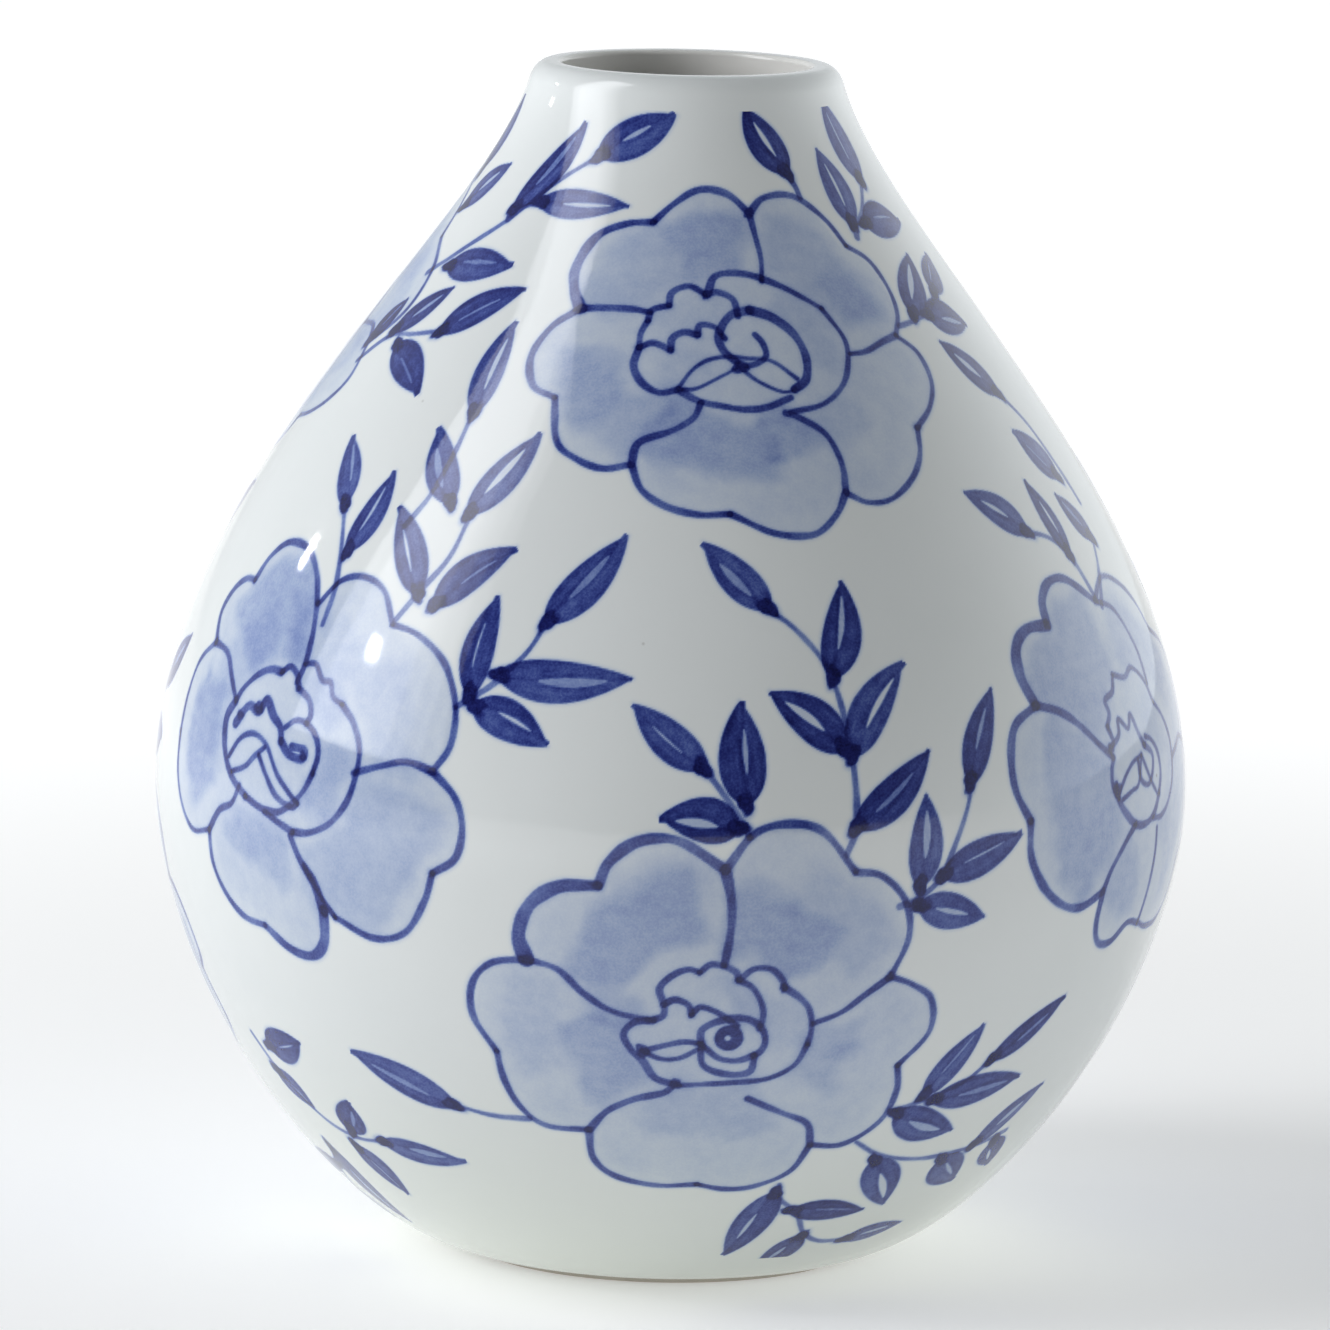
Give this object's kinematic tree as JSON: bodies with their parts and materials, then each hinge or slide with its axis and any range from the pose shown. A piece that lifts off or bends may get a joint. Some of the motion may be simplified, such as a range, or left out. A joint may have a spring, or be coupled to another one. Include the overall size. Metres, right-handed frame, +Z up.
{
  "type": "vase",
  "caption": "Pear-shaped hollow porcelain vase with a small round open mouth, a rounded lip and an unglazed foot ring.",
  "frame": {"origin": "on the ground, under the centre of the foot ring", "axes": "+Z up along the axis of the turned body; -Y faces the viewer of the painted front"},
  "size_m": [0.173, 0.173, 0.2],
  "materials": {
    "glaze": "glossy clear glaze over greyish white porcelain, painted in cobalt blue",
    "biscuit": "unglazed, matt, fine sandy texture"
  },
  "bodies": {
    "root": {"foot_ring": "biscuit", "lower_body": "glaze", "upper_body": "glaze", "mouth_rim": "glaze"}
  },
  "joints": []
}
